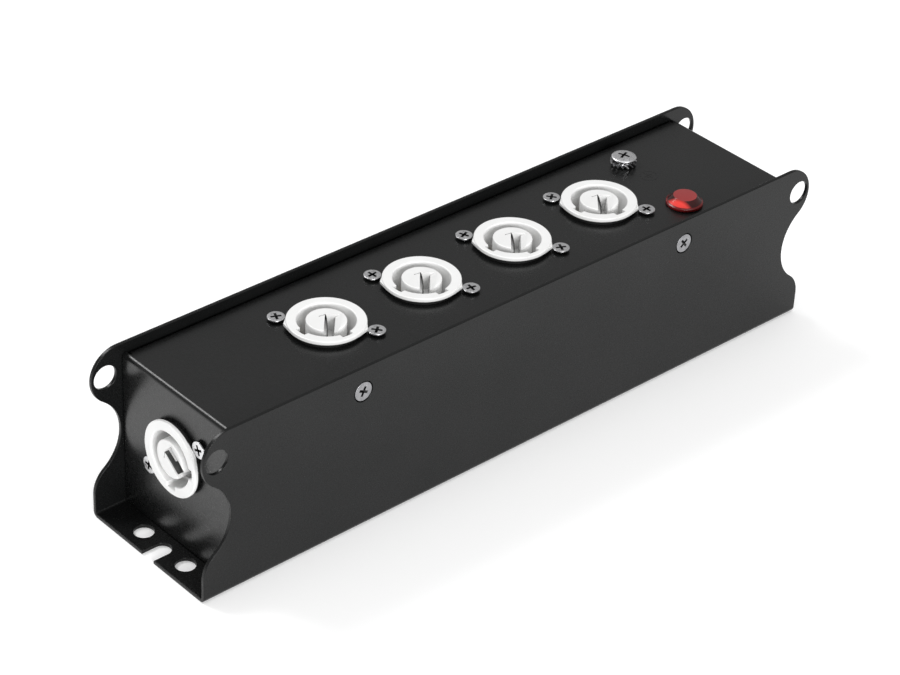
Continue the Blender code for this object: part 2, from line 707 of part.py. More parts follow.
def make_leads():
    """Two lamp leads and the lead from the earthing terminal, down to the mains wires."""
    bus_x = OUTLET_XS[-1] + (OUTLET_XS[1] - OUTLET_XS[0]) / 2
    bus_z = SHEET + CORE_DIP
    tag_z = COVER_TOP - LAMP_BODY_DEPTH - 5 * MM - GAP
    side = CORE_RADIUS + LAMP_LEAD_RADIUS + GAP
    below = bus_z - side
    neutral = [
        (LAMP_X - LAMP_TAG_OFFSET, LAMP_Y, tag_z),
        (LAMP_X - LAMP_TAG_OFFSET, LAMP_Y + 1 * MM, tag_z - 8 * MM),
        (bus_x, LAMP_Y + 5 * MM, bus_z + 3 * MM),
        (bus_x, -PHASE_OFFSET - side, bus_z),
    ]
    live = [
        (LAMP_X + LAMP_TAG_OFFSET, LAMP_Y, tag_z),
        (LAMP_X + LAMP_TAG_OFFSET, LAMP_Y + 1 * MM, tag_z - 12 * MM),
        (LAMP_X, LAMP_Y + 6 * MM, below),
        (bus_x, -PHASE_OFFSET, below - 1 * MM),
        (bus_x, 0, below - 1 * MM),
        (bus_x, PHASE_OFFSET, below),
    ]
    tongue = at(EARTH_X, EARTH_Y) @ turn(RING_TURN) @ Vector((RING_TONGUE - 2 * MM, 0, 0))
    tongue_z = COVER_TOP - SHEET - RING_THICKNESS - 2 * GAP
    earth_side = CORE_RADIUS + EARTH_LEAD_RADIUS + GAP
    earth = [
        (tongue.x, tongue.y, tongue_z),
        (tongue.x, tongue.y, tongue_z - 10 * MM),
        (bus_x - 1 * MM, earth_side, bus_z + 12 * MM),
        (bus_x - 1 * MM, earth_side, bus_z),
    ]
    leads = {
        "lamp_neutral_lead": (neutral, LAMP_LEAD_RADIUS, BLUE_WIRE),
        "lamp_live_lead": (live, LAMP_LEAD_RADIUS, BROWN_WIRE),
        "earth_lead": (earth, EARTH_LEAD_RADIUS, GREEN_WIRE),
    }
    for name, (points, radius, mat) in leads.items():
        add(name, smooth(wire_mesh(name, smooth_route(points), radius)), PARTS, mat)


make_channel()
make_cover()
make_connectors()
make_cover_screws()
make_lamp()
make_earth_terminal()
make_mains_wires()
make_leads()
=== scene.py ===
"""Looks of the portable power distribution box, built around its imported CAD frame.

Sheet-metal pieces are drawn flat, with rounded cut edges, and then folded. Connectors, screws,
lamp lens and lock washer are finer copies of their CAD nodes. Lengths are metres.
"""

from math import acos, asin, atan2, cos, degrees, pi, radians, sin

import bmesh
import bpy
from mathutils import Matrix, Vector


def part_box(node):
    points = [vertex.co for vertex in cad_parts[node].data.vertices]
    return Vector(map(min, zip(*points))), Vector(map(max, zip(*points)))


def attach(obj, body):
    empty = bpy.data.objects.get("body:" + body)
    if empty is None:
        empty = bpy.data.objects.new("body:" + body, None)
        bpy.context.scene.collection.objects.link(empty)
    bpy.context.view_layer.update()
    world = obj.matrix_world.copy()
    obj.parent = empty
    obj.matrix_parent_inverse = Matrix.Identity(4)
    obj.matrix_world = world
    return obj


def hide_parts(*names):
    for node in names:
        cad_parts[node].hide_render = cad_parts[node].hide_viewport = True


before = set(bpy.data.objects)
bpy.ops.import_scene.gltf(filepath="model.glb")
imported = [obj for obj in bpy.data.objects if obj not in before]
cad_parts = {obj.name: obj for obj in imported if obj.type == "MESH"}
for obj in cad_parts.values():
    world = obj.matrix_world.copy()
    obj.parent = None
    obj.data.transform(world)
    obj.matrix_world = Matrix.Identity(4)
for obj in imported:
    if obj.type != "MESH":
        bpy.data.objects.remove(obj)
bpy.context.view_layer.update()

MM = 0.001

# Shapes that the boxes of the CAD nodes don't give
SHEET = 1.2 * MM
CHANNEL_BEND = 1.9 * MM
COVER_BEND = 1.5 * MM
SHEET_EDGE = 0.18 * MM
EAR_RADIUS = 9.8 * MM
FOOT_RADIUS = 10 * MM
FOOT_CENTRE_Z = 7.9 * MM
WAIST_RADIUS = 15.25 * MM
EAR_HOLE = (120 * MM, 48.6 * MM, 4 * MM)
BASE_HOLE = (118.8 * MM, 10.2 * MM, 3.15 * MM)
SLOT_WIDTH = 5.8 * MM
SLOT_DEPTH = 8.2 * MM
FLANGE_DEPTH = 12 * MM
FLANGE_END_GAP = 2.4 * MM
CORNER_RELIEF = 0.8 * MM
COLLAR_RADIUS = 12.2 * MM
COLLAR_EDGE = 0.35 * MM
SOCKET_RADIUS = 9 * MM
SOCKET_DEPTH = 21 * MM
BOSS_RADIUS = 6.2 * MM
BOSS_DROP = 0.05 * MM
BOSS_EDGE = 0.3 * MM
BARREL_RADIUS = 11.5 * MM
BARREL_DEPTH = 24 * MM
KEY_SIDE = 228
KEYWAY_TURNS = (-46, 41)
KEYWAY_RADIUS = 10.4 * MM
KEYWAY_WIDTH = 3.7 * MM
BOSS_CHANNEL_BACK = 2.9 * MM
BOSS_CHANNEL_LEFT = -0.55 * MM
BOSS_CHANNEL_RIGHT = 4.2 * MM
BOSS_SHELF_DEPTH = 1.4 * MM
BOSS_SHELF_EDGE = 0.3 * MM
BOSS_CHANNEL_DEPTH = 6 * MM
CONTACT_LINE = [(-1.4, -2.3), (-2.6, -0.45), (-1.5, -0.1), (0, 0.1), (1.8, 0.3), (3.5, 0.45), (5, 0.55)]
CONTACT_THICKNESS = 0.3 * MM
CONTACT_DEPTH = 7 * MM
TAB_DEPTH = 6.5 * MM
TAB_WIDTH = 4.8 * MM
TAB_THICKNESS = 0.8 * MM
PLATE_THICKNESS = 2.4 * MM
PLATE_X = 26 * MM
PLATE_Y = 31 * MM
PLATE_CORNER = 3 * MM
LIP_HEIGHT = 1.35 * MM
NECK_RADIUS = 11.3 * MM
LUG_RADIUS = 12.9 * MM
LUG_TURNS = (149, -58)
HOLE_GAP = 0.3 * MM
CONNECTOR_HOLE_RADIUS = 1.55 * MM
SCREW_OFFSET = (9.5 * MM, 12 * MM)
LENS_TOP_RADIUS = 3.9 * MM
LENS_RING = 1.1 * MM
LAMP_HOLE = 4.9 * MM
EARTH_HOLE = 2.2 * MM
COVER_THREAD_HOLE = 1.6 * MM
COVER_SCREW_HOLE = 3.5 * MM
CONNECTOR_SHANK = 1.25 * MM
COVER_SHANK = 1.3 * MM
EARTH_SHANK = 1.9 * MM
THREAD_PITCH = 0.5 * MM
HEAD_SINK = 0.05 * MM
HEAD_SET = 0.4 * MM
HEAD_RIM = 0.4 * MM
HEAD_CONE = 0.9 * MM
RECESS_SPAN = 3.4 * MM
EARTH_RECESS_SPAN = 4.3 * MM
RECESS_WIDTH = 0.85 * MM
RECESS_DEPTH = 1.0 * MM
# Painted patch of light on the lens bevel: the side it lies towards, and how far out it starts and
# reaches full strength.
PAINTED_GLOW_SIDE = (-0.95, -0.31, 0)
PAINTED_GLOW_START = 3.3 * MM
PAINTED_GLOW_END = 4.4 * MM
WASHER_TEETH = 15
TOOTH_TWIST = -48

SCREW_ANGLES = [20, 65, 38, 5, 80]
EARTH_MARK = (80.5 * MM, 3.6 * MM)
LINK_TURN = Matrix.Rotation(-pi / 2, 4, "Y")
INLET_TURN = Matrix.Rotation(pi / 2, 4, "Y")

CAMERA_LENS = 114.1
CAMERA_SENSOR = 36
CAMERA_PLACE = (-0.51246, -0.53963, 0.52413)
CAMERA_RIGHT = Vector((0.74805, -0.66240, 0.04066))
CAMERA_FORWARD = Vector((0.56779, 0.60709, -0.55592))


# --- Where things are -----------------------------------------------------------------------

CHANNEL_LOW, CHANNEL_HIGH = (Vector(corner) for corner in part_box("base_channel"))
COVER_LOW, COVER_HIGH = (Vector(corner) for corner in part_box("cover"))
OUTLETS = [f"outlet_{i}" for i in range(1, 5)]
CONNECTORS = OUTLETS + ["link_outlet", "inlet"]


def centre(node):
    """Middle of a CAD node's box."""
    low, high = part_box(node)
    return (Vector(low) + Vector(high)) / 2


def on_panel(node, connector):
    """Place on the outer face of the panel or end plate, with +Z pointing out of it."""
    middle = centre(node)
    if connector == "link_outlet":
        return Matrix.Translation((COVER_LOW.x, middle.y, middle.z)) @ LINK_TURN
    if connector == "inlet":
        return Matrix.Translation((COVER_HIGH.x, middle.y, middle.z)) @ INLET_TURN
    return Matrix.Translation((middle.x, middle.y, COVER_HIGH.z))


# --- Outlines -------------------------------------------------------------------------------

def arc(middle, radius, start, end, steps):
    """Points on an arc between two angles in degrees, both ends included."""
    turns = [radians(start + (end - start) * i / steps) for i in range(steps + 1)]
    return [(middle[0] + radius * cos(a), middle[1] + radius * sin(a)) for a in turns]


def rounded_rectangle(width, height, radius, steps=6):
    """Points round a rectangle with rounded corners, anticlockwise."""
    x, y = width / 2 - radius, height / 2 - radius
    points = []
    for middle, start in (((x, y), 0), ((-x, y), 90), ((-x, -y), 180), ((x, -y), 270)):
        points += arc(middle, radius, start, start + 90, steps)
    return points


def circle(middle, radius, steps):
    """Points round a full circle, anticlockwise."""
    return arc(middle, radius, 0, 360, steps)[:-1]


def hole(middle, radius, steps):
    """Points round a full circle, clockwise."""
    return circle(middle, radius, steps)[::-1]


def pulled_in(loop, distance):
    """Loop moved into the material, which lies on the left of its direction."""
    moved = []
    for before, point, after in zip(loop[-1:] + loop[:-1], loop, loop[1:] + loop[:1]):
        a = (Vector(point) - Vector(before)).normalized()
        b = (Vector(after) - Vector(point)).normalized()
        left_a = Vector((-a.y, a.x))
        left_b = Vector((-b.y, b.x))
        both = (left_a + left_b).normalized()
        moved.append(tuple(Vector(point) + both * distance / max(both.dot(left_a), 0.5)))
    return moved


# --- Mesh helpers ---------------------------------------------------------------------------

def link(name, data):
    """New object in the scene."""
    obj = bpy.data.objects.new(name, data)
    bpy.context.scene.collection.objects.link(obj)
    return obj


def baked(obj):
    """Mesh of an object with its modifiers applied; the object and its cutters go."""
    depsgraph = bpy.context.evaluated_depsgraph_get()
    mesh = bpy.data.meshes.new_from_object(obj.evaluated_get(depsgraph))
    cutters = [m.object for m in obj.modifiers if m.type == "BOOLEAN"]
    for used in set(cutters + [obj]):
        bpy.data.objects.remove(used, do_unlink=True)
    return mesh


def edit(mesh, work):
    """Run a bmesh edit on a mesh."""
    shape = bmesh.new()
    shape.from_mesh(mesh)
    work(shape)
    shape.to_mesh(mesh)
    shape.free()
    return mesh


def smoothed(mesh, angle=40):
    """Weld a mesh, point its faces outwards and shade it smooth between sharp edges."""
    def clean(shape):
        bmesh.ops.remove_doubles(shape, verts=shape.verts, dist=0.001 * MM)
        bmesh.ops.recalc_face_normals(shape, faces=shape.faces)
    edit(mesh, clean)
    mesh.shade_smooth()
    mesh.set_sharp_from_angle(angle=radians(angle))
    return mesh


def plate(name, loops, low, high, edge, resolution=2):
    """Flat plate between two heights, with edges rounded by a small radius."""
    curve = bpy.data.curves.new(name, "CURVE")
    curve.dimensions = "2D"
    curve.fill_mode = "BOTH"
    curve.extrude = (high - low) / 2 - edge
    curve.bevel_depth = edge
    curve.bevel_resolution = resolution
    for loop in loops:
        points = pulled_in(loop, edge)
        spline = curve.splines.new("POLY")
        spline.points.add(len(points) - 1)
        for point, (x, y) in zip(spline.points, points):
            point.co = (x, y, 0, 1)
        spline.use_cyclic_u = True
    mesh = baked(link(name, curve))
    mesh.transform(Matrix.Translation((0, 0, (high + low) / 2)))
    return mesh


def turned(name, profile, steps=64):
    """Solid turned about Z from (radius, height) points that start and end on the axis."""
    mesh = bpy.data.meshes.new(name)
    edges = [(i, i + 1) for i in range(len(profile) - 1)]
    mesh.from_pydata([(radius, 0, height) for radius, height in profile], edges, [])
    obj = link(name, mesh)
    screw = obj.modifiers.new("turn", "SCREW")
    screw.steps = steps
    screw.render_steps = steps
    screw.use_merge_vertices = True
    screw.merge_threshold = 0.001 * MM
    return baked(obj)


def box(name, size, place=Matrix()):
    """Box at a place."""
    mesh = bpy.data.meshes.new(name)
    edit(mesh, lambda shape: bmesh.ops.create_cube(shape, size=1.0))
    mesh.transform(place @ Matrix.Diagonal((*size, 1)))
    return mesh


def without(mesh, cutters):
    """Mesh with the cutter meshes taken away."""
    obj = link("work", mesh)
    for cutter in cutters:
        modifier = obj.modifiers.new("cut", "BOOLEAN")
        modifier.solver = "EXACT"
        modifier.object = link("cutter", cutter)
    return baked(obj)


def merged(name, meshes):
    """One mesh made of several closed parts."""
    shape = bmesh.new()
    for mesh in meshes:
        shape.from_mesh(mesh)
    joined = bpy.data.meshes.new(name)
    shape.to_mesh(joined)
    shape.free()
    return joined


def rounded_corner(radius, height, edge, steps=4):
    """Profile points that round a turned shape's top outer corner."""
    return arc((radius - edge, height - edge), edge, 90, 0, steps)


# --- Materials ------------------------------------------------------------------------------

class Material:
    """A node material with a Principled shader and short ways to add noise and bump."""

    def __init__(self, name, roughness, metallic=0.0, **sockets):
        self.data = bpy.data.materials.new(name)
        self.data.use_nodes = True
        self.nodes = self.data.node_tree.nodes
        self.links = self.data.node_tree.links
        self.shader = self.nodes["Principled BSDF"]
        self.place = self.nodes.new("ShaderNodeTexCoord").outputs["Object"]
        self.shader.inputs["Roughness"].default_value = roughness
        self.shader.inputs["Metallic"].default_value = metallic
        for socket, value in sockets.items():
            self.shader.inputs[socket.replace("_", " ")].default_value = value

    def noise(self, scale, detail=3.0, stretch=(1, 1, 1)):
        """Noise with a scale in features per metre."""
        mapping = self.nodes.new("ShaderNodeMapping")
        mapping.inputs["Scale"].default_value = stretch
        noise = self.nodes.new("ShaderNodeTexNoise")
        noise.inputs["Scale"].default_value = scale
        noise.inputs["Detail"].default_value = detail
        self.links.new(self.place, mapping.inputs["Vector"])
        self.links.new(mapping.outputs["Vector"], noise.inputs["Vector"])
        return noise.outputs["Fac"]

    def ramp(self, value, stops):
        """Colour ramp through (position, colour) stops."""
        ramp = self.nodes.new("ShaderNodeValToRGB")
        while len(ramp.color_ramp.elements) < len(stops):
            ramp.color_ramp.elements.new(0.5)
        for element, (position, colour) in zip(ramp.color_ramp.elements, stops):
            element.position = position
            element.color = (*colour, 1)
        self.links.new(value, ramp.inputs["Fac"])
        return ramp.outputs["Color"]

    def spread(self, value, low, high):
        """Noise value from about 0.3 to 0.7 mapped to a range."""
        spread = self.nodes.new("ShaderNodeMapRange")
        spread.inputs["From Min"].default_value = 0.3
        spread.inputs["From Max"].default_value = 0.7
        spread.inputs["To Min"].default_value = low
        spread.inputs["To Max"].default_value = high
        self.links.new(value, spread.inputs["Value"])
        return spread.outputs["Result"]

    def use(self, value, socket):
        """Plug a value into the shader."""
        self.links.new(value, self.shader.inputs[socket])

    def bump(self, value, depth, strength=1.0):
        """Bump of a depth in metres."""
        bump = self.nodes.new("ShaderNodeBump")
        bump.inputs["Distance"].default_value = depth
        bump.inputs["Strength"].default_value = strength
        self.links.new(value, bump.inputs["Height"])
        self.links.new(bump.outputs["Normal"], self.shader.inputs["Normal"])


def painted_steel(name, shine):
    """Satin black powder coat: fine orange peel, slight cloudiness and dust."""
    mat = Material(name, 0.3, Specular_IOR_Level=shine)
    clouds = mat.noise(35, 2)
    stops = [(0.3, (0.0045, 0.0048, 0.0048)), (0.7, (0.0065, 0.0067, 0.0068))]
    mat.use(mat.ramp(clouds, stops), "Base Color")
    mat.use(mat.spread(mat.noise(900, 4), 0.24, 0.32), "Roughness")
    mat.bump(mat.noise(1400, 2), 0.01 * MM, 0.25)
    return mat.data


def plastic(name, low, high, roughness=0.38):
    """Moulded plastic: faint flow marks and a very fine grain."""
    mat = Material(name, roughness)
    mat.use(mat.ramp(mat.noise(90, 3), [(0.35, low), (0.65, high)]), "Base Color")
    mat.use(mat.spread(mat.noise(400, 3), roughness - 0.05, roughness + 0.06), "Roughness")
    mat.bump(mat.noise(2500, 2), 0.01 * MM, 0.2)
    return mat.data


def bright_metal(name, low, high, roughness=0.24):
    """Plated metal with tool marks and slight staining."""
    mat = Material(name, roughness, 1.0)
    mat.use(mat.ramp(mat.noise(700, 4), [(0.3, low), (0.7, high)]), "Base Color")
    mat.use(mat.spread(mat.noise(1500, 3), roughness - 0.07, roughness + 0.12), "Roughness")
    mat.bump(mat.noise(2600, 3, (1, 1, 0.3)), 0.015 * MM, 0.3)
    return mat.data


def red_lens(name, colour, painted_glow=None, roughness=0.18):
    """Clear red moulding, with a painted patch of gathered light on one side when a patch colour is
    given.
    """
    mat = Material(name, roughness, IOR=1.49)
    if painted_glow:
        # Painted light: the base colour shifts to the patch colour towards one side.
        split = mat.nodes.new("ShaderNodeVectorMath")
        split.operation = "DOT_PRODUCT"
        split.inputs[1].default_value = PAINTED_GLOW_SIDE
        mat.links.new(mat.place, split.inputs[0])
        painted_light_mask = mat.nodes.new("ShaderNodeMapRange")
        painted_light_mask.inputs["From Min"].default_value = PAINTED_GLOW_START
        painted_light_mask.inputs["From Max"].default_value = PAINTED_GLOW_END
        mat.links.new(split.outputs["Value"], painted_light_mask.inputs["Value"])
        mat.use(mat.ramp(painted_light_mask.outputs["Result"], [(0.0, colour), (1.0, painted_glow)]), "Base Color")
    else:
        darker = tuple(0.85 * c for c in colour)
        mat.use(mat.ramp(mat.noise(120, 2), [(0.3, darker), (0.7, colour)]), "Base Color")
    mat.bump(mat.noise(500, 2), 0.01 * MM, 0.2)
    return mat.data


def wire_cover(name, colour, stripe=None):
    """PVC insulation, with a lengthwise stripe on the earth wires."""
    mat = Material(name, 0.45)
    if stripe:
        bands = mat.noise(260, 0, (0.15, 1, 1))
        mat.use(mat.ramp(bands, [(0.48, colour), (0.52, stripe)]), "Base Color")
    else:
        darker = tuple(0.8 * c for c in colour)
        mat.use(mat.ramp(mat.noise(150), [(0.3, darker), (0.7, colour)]), "Base Color")
    mat.bump(mat.noise(1500, 2), 0.02 * MM, 0.3)
    return mat.data


BLACK = painted_steel("black_powder_coat", 0.22)
COVER_BLACK = painted_steel("cover_powder_coat", 0.42)
WHITE = plastic("white_connector_plastic", (0.78, 0.78, 0.775), (0.82, 0.82, 0.815))
BLUE = plastic("blue_connector_plastic", (0.02, 0.09, 0.42), (0.03, 0.12, 0.5))
NYLON = plastic("lamp_nylon", (0.7, 0.7, 0.68), (0.78, 0.78, 0.75), 0.5)
ZINC = bright_metal("bright_zinc", (0.62, 0.62, 0.63), (0.74, 0.74, 0.75), 0.3)
# A darker copy of the bright zinc for the side-facing cover screw heads: painted shade.
SHADED_ZINC = bright_metal("zinc_painted_shade", (0.27, 0.27, 0.28), (0.36, 0.36, 0.37), 0.35)
# Near-black metal for screw cross recesses and head undersides: painted shade.
RECESS_SHADE = bright_metal("recess_painted_shade", (0.02, 0.02, 0.02), (0.04, 0.04, 0.04), 0.5)
BRASS = bright_metal("contact_brass", (0.62, 0.47, 0.2), (0.8, 0.64, 0.32), 0.3)
# The lens is one clear red moulding. Its top, bevel and ring take lighter and darker copies of that red
# as painted light and shade, and the bevel also carries a painted patch of light.
RED_TOP = red_lens("red_lens_top", (0.3, 0.03, 0.03), roughness=0.3)
RED_BEVEL = red_lens("red_lens_bevel", (0.03, 0.002, 0.002), (0.75, 0.05, 0.04))
RED_RING = red_lens("red_lens_ring", (0.16, 0.006, 0.006), roughness=0.25)
DARK_CONTACT = bright_metal("shaded_contact", (0.10, 0.10, 0.10), (0.16, 0.16, 0.155), 0.5)
# Near black for the connector necks under the collar lip: painted shade.
NECK_SHADE = plastic("neck_painted_shade", (0.004, 0.004, 0.004), (0.007, 0.007, 0.007), 0.6)
PRINT = plastic("dark_print", (0.001, 0.001, 0.001), (0.002, 0.002, 0.002), 0.6)
BROWN_PVC = wire_cover("brown_pvc", (0.13, 0.05, 0.02))
BLUE_PVC = wire_cover("blue_pvc", (0.02, 0.09, 0.42))
STRIPED_PVC = wire_cover("striped_pvc", (0.03, 0.28, 0.04), (0.75, 0.62, 0.04))


def piece(name, mesh, mat, nodes=(), body="enclosure", place=Matrix()):
    """Show a finished mesh, as part of a CAD body and in place of CAD nodes."""
    obj = link(name, mesh)
    obj.matrix_world = place
    if not mesh.materials:
        mesh.materials.append(mat)
    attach(obj, body)
    if nodes:
        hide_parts(*nodes)
    normals = obj.modifiers.new("flat_faces_stay_flat", "WEIGHTED_NORMAL")
    normals.keep_sharp = True
    return obj


# --- Folded sheet ---------------------------------------------------------------------------

def sliced(mesh, axis, stations):
    """Cut a flat blank across an axis, so that it can bend there."""
    def slice_all(shape):
        for station in stations:
            point = Vector((0, 0, 0))
            point[axis] = station
            normal = Vector((0, 0, 0))
            normal[axis] = 1
            everything = shape.verts[:] + shape.edges[:] + shape.faces[:]
            bmesh.ops.bisect_plane(shape, geom=everything, plane_co=point, plane_no=normal)
    return edit(mesh, slice_all)


def folded(across, outward, flat_half, bend):
    """Where a point of a blank goes: its distance across, and its distance down from the sheet.

    across is the distance from the middle along the middle of the sheet, outward is the distance
    from the middle of the sheet, and bend is the outer bend radius. The fold starts at flat_half.
    """
    middle_radius = bend - SHEET / 2
    past = abs(across) - flat_half
    if past <= 0:
        return across, SHEET / 2 - outward
    side = 1 if across > 0 else -1
    radius = middle_radius + outward
    angle = past / middle_radius
    if angle >= pi / 2:
        return side * (flat_half + radius), bend + past - middle_radius * pi / 2
    return side * (flat_half + radius * sin(angle)), bend - radius * cos(angle)


def bend_stations(flat_half, bend, steps=8):
    """Where to slice a blank on both sides so that its bends come out round."""
    length = (bend - SHEET / 2) * pi / 2
    one_side = [flat_half + length * i / steps for i in range(steps + 1)]
    return one_side + [-station for station in one_side]


def wall_end(half_length, wall_top):
    """Outline of a wall's right-hand end from its foot up to its ear, as (x, z) points.

    The waist's arc touches the arcs of the ear and the foot.
    """
    ear = Vector((half_length - EAR_RADIUS, wall_top - EAR_RADIUS))
    foot = Vector((half_length - FOOT_RADIUS, FOOT_CENTRE_Z))
    upper = EAR_RADIUS + WAIST_RADIUS
    lower = FOOT_RADIUS + WAIST_RADIUS
    span = foot - ear
    inner = acos((upper ** 2 + span.length ** 2 - lower ** 2) / (2 * upper * span.length))
    slope = atan2(span.y, span.x) + inner
    waist = ear + Vector((upper * cos(slope), upper * sin(slope)))
    rise = atan2(waist.y - foot.y, waist.x - foot.x)
    points = arc(foot, FOOT_RADIUS, 0, degrees(rise), 12)
    points += arc(waist, WAIST_RADIUS, degrees(rise) + 180, degrees(slope) + 180, 24)[1:]
    return points + arc(ear, EAR_RADIUS, degrees(slope), 90, 24)[1:]


def make_channel():
    """Base and walls from one blank: drilled, cut at the ends, edges rounded, then folded."""
    half_length = CHANNEL_HIGH.x
    flat_half = CHANNEL_HIGH.y - CHANNEL_BEND
    bend_length = (CHANNEL_BEND - SHEET / 2) * pi / 2

    def across(z):
        return flat_half + bend_length + z - CHANNEL_BEND

    end = [(x, across(z)) for x, z in wall_end(half_length, CHANNEL_HIGH.z)]
    slot_radius = SLOT_WIDTH / 2
    slot_middle = half_length - SLOT_DEPTH + slot_radius
    slot = [(half_length, -slot_radius)]
    slot += arc((slot_middle, 0), slot_radius, 270, 90, 16)
    slot += [(half_length, slot_radius)]
    right = [(x, -y) for x, y in end[::-1]] + slot + end
    left = [(-x, -y) for x, y in right]
    loops = [right + left]
    ear_x, ear_z, ear_radius = EAR_HOLE
    base_x, base_y, base_radius = BASE_HOLE
    screw_middle = centre("cover_screw_2")
    for side_x in (-1, 1):
        for side_y in (-1, 1):
            loops.append(hole((side_x * ear_x, side_y * across(ear_z)), ear_radius, 48))
            loops.append(hole((side_x * base_x, side_y * base_y), base_radius, 40))
            screw_y = side_y * across(screw_middle.z)
            loops.append(hole((side_x * screw_middle.x, screw_y), COVER_SCREW_HOLE, 40))
    blank = plate("base_channel_sheet", loops, -SHEET / 2, SHEET / 2, SHEET_EDGE)
    sliced(blank, 1, bend_stations(flat_half, CHANNEL_BEND))
    for vertex in blank.vertices:
        x, y, outward = vertex.co
        y, z = folded(y, outward, flat_half, CHANNEL_BEND)
        vertex.co = (x, y, z)
    piece("channel_sheet", smoothed(blank), BLACK, ["base_channel"])


def make_cover():
    """Panel, end plates and side flanges from one cross-shaped blank, folded down."""
    bend_length = (COVER_BEND - SHEET / 2) * pi / 2
    flat_x = COVER_HIGH.x - COVER_BEND
    flat_y = COVER_HIGH.y - COVER_BEND
    edge_x = flat_x + bend_length + COVER_HIGH.z - COVER_BEND - COVER_LOW.z
    edge_y = flat_y + bend_length + FLANGE_DEPTH - COVER_BEND
    flange_end = COVER_HIGH.x - FLANGE_END_GAP
    relief_end = flange_end + CORNER_RELIEF
    relief_foot = flat_y - HOLE_GAP
    corner = [
        (flange_end, edge_y),
        (flange_end, relief_foot),
        (relief_end, relief_foot),
        (relief_end, COVER_HIGH.y),
        (edge_x, COVER_HIGH.y),
    ]
    right = [(x, -y) for x, y in corner] + corner[::-1]
    left = [(-x, -y) for x, y in right]
    loops = [right + left]
    for connector in CONNECTORS:
        middle = centre(f"{connector}_housing")
        spots = [(middle, NECK_RADIUS + HOLE_GAP, 72)]
        for number in (1, 2):
            spots.append((centre(f"{connector}_screw_{number}"), CONNECTOR_HOLE_RADIUS, 24))
        for spot, radius, steps in spots:
            x, y = spot.x, spot.y
            if connector in ("link_outlet", "inlet"):
                side = 1 if connector == "inlet" else -1
                x = side * (flat_x + bend_length + COVER_HIGH.z - COVER_BEND - spot.z)
            loops.append(hole((x, y), radius, steps))
    lamp = centre("lamp_body")
    loops.append(hole((lamp.x, lamp.y), LAMP_HOLE, 40))
    earth = centre("earth_screw")
    loops.append(hole((earth.x, earth.y), EARTH_HOLE, 32))
    screw = centre("cover_screw_2")
    screw_y = flat_y + bend_length + COVER_HIGH.z - COVER_BEND - screw.z
    for side_x in (-1, 1):
        for side_y in (-1, 1):
            loops.append(hole((side_x * screw.x, side_y * screw_y), COVER_THREAD_HOLE, 24))
    blank = plate("cover_sheet", loops, -SHEET / 2, SHEET / 2, SHEET_EDGE)
    sliced(blank, 0, bend_stations(flat_x, COVER_BEND))
    sliced(blank, 1, bend_stations(flat_y, COVER_BEND))
    for vertex in blank.vertices:
        x, y, outward = vertex.co
        if abs(x) > (flange_end + relief_end) / 2:
            x, drop = folded(x, outward, flat_x, COVER_BEND)
        else:
            y, drop = folded(y, outward, flat_y, COVER_BEND)
        vertex.co = (x, y, COVER_HIGH.z - drop)
    piece("cover_sheet", smoothed(blank), COVER_BLACK, ["cover"])


# --- Connectors -----------------------------------------------------------------------------

def keyed_socket(radius, steps=96):
    """Clockwise outline of the socket with its two keyways."""
    half_width = KEYWAY_WIDTH / 2
    half_turn = degrees(asin(half_width / radius))
    deep_turn = degrees(asin(half_width / KEYWAY_RADIUS))
    points = []
    start = KEY_SIDE - 180
    keys = [KEY_SIDE + turn for turn in KEYWAY_TURNS]
    for key in keys:
        share = round(steps * (key - half_turn - start) / 360)
        points += arc((0, 0), radius, start, key - half_turn, share)
        points += arc((0, 0), KEYWAY_RADIUS, key - deep_turn, key + deep_turn, 4)
        start = key + half_turn
    share = round(steps * (KEY_SIDE + 180 - start) / 360)
    points += arc((0, 0), radius, start, KEY_SIDE + 180, share)[:-1]
    return points[::-1]


def key_frame():
    """Turn that takes +X to the key side, so that +Y is on the right when seen from there."""
    return Matrix.Rotation(radians(KEY_SIDE), 4, "Z")


def prism(name, outline, start, end):
    """Solid with a (y, z) outline drawn out along X."""
    shape = bmesh.new()
    face = shape.faces.new([shape.verts.new((start, y, z)) for y, z in outline])
    drawn = bmesh.ops.extrude_face_region(shape, geom=[face])
    ends = [item for item in drawn["geom"] if isinstance(item, bmesh.types.BMVert)]
    bmesh.ops.translate(shape, verts=ends, vec=(end - start, 0, 0))
    bmesh.ops.recalc_face_normals(shape, faces=shape.faces)
    mesh = bpy.data.meshes.new(name)
    shape.to_mesh(mesh)
    shape.free()
    return mesh


def strip(name, line, thickness, low, high):
    """Upright strip that follows a line of (x, y) points."""
    left = pulled_in(line + line[::-1][1:-1], thickness / 2)[:len(line)]
    right = pulled_in(line + line[::-1][1:-1], -thickness / 2)[:len(line)]
    return plate(name, [right + left[::-1]], low, high, 0.05 * MM, 1)


def boss_mesh(floor, top):
    """Centre boss with a channel that has one upright and one sloping wall."""
    profile = [(0, top)] + rounded_corner(BOSS_RADIUS, top, BOSS_EDGE)
    profile += [(BOSS_RADIUS, floor), (0, floor)]
    boss = turned("boss", profile, 96)
    low = top - BOSS_CHANNEL_DEPTH
    above = top + 1 * MM
    left = BOSS_CHANNEL_LEFT
    right = BOSS_CHANNEL_RIGHT
    slope = [(right + 0.3 * MM, above), (right, top), (0.62 * right, top - 0.9 * MM)]
    shelf = top - BOSS_SHELF_DEPTH
    step = BOSS_SHELF_EDGE
    outline = [(left, shelf), (left, above)] + slope + [(0.5 * right, low), (step, low), (step, shelf)]
    cutter = prism("channel", outline, -BOSS_CHANNEL_BACK, BOSS_RADIUS + 1 * MM)
    cutter.transform(key_frame())
    return without(boss, [cutter])


